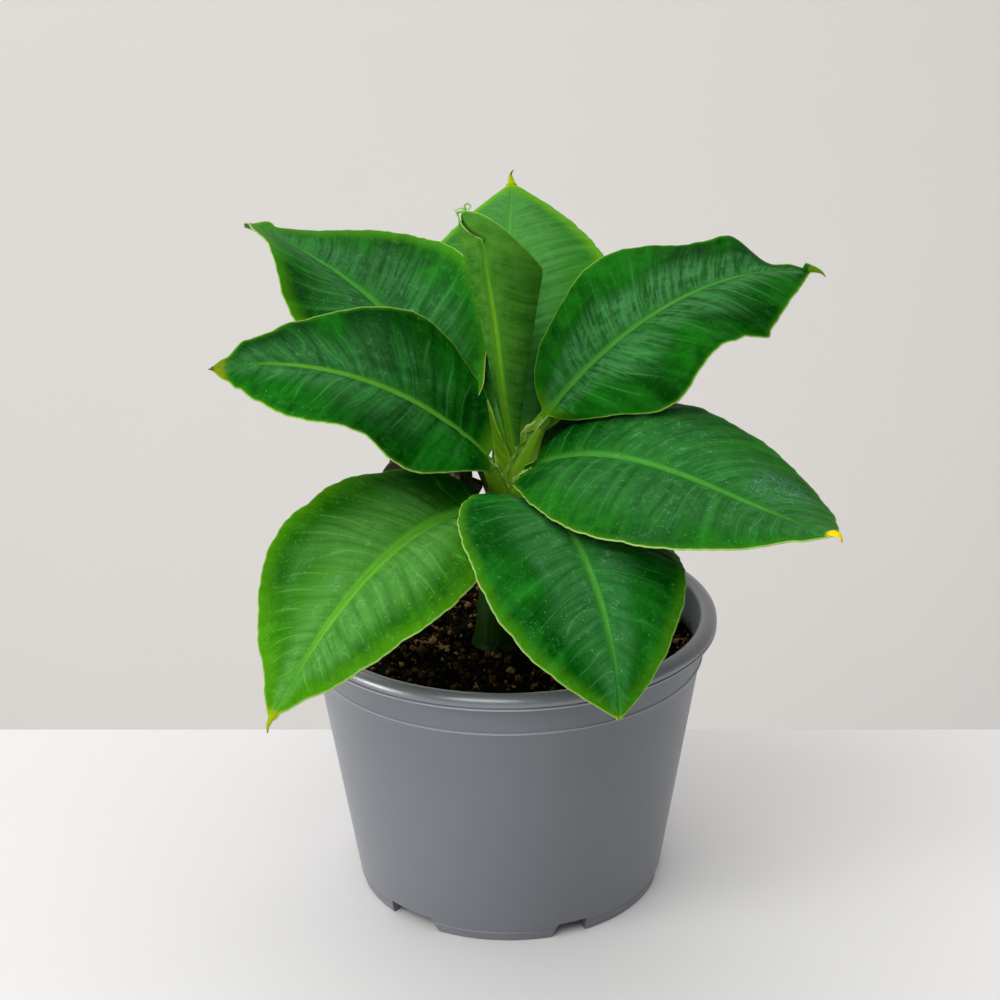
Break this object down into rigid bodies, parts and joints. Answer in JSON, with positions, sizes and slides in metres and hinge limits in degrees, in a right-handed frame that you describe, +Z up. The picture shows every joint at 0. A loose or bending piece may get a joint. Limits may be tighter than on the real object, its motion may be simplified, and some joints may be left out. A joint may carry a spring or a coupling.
{
  "type": "potted young banana plant",
  "caption": "Young banana plant with broad spreading leaves and a new rolled leaf, growing in a round tapered plastic nursery pot filled with soil.",
  "frame": {"origin": "centre of the pot's flat underside, on the pot's axis, at the level of the surface it stands on", "axes": "+Z up along the pot's axis; -Y is the front, towards the picture's camera; +X to the right of the picture"},
  "size_m": [0.2651, 0.3081, 0.3183],
  "materials": {
    "pot": "satin mid grey, slightly glossier on the rolled rim",
    "soil": "rough, moist dark brown peat and bark",
    "stem": "smooth, waxy",
    "leaf": "waxy satin with fine side veins and a paler midrib",
    "young_leaf": "soft satin, pale underside",
    "dry_leaf": "matte, papery and crumpled"
  },
  "bodies": {
    "root": {"pot": "pot", "potting_soil": "soil", "pseudostem": "stem", "leaf_center": "young_leaf", "leaf_upper_right": "leaf", "leaf_mid_left": "leaf", "leaf_upper_left": "leaf", "leaf_right": "leaf", "leaf_back": "young_leaf", "leaf_back_right": "leaf", "leaf_lower_front": "leaf", "leaf_lower_left": "leaf", "dry_leaf": "dry_leaf"}
  },
  "joints": []
}
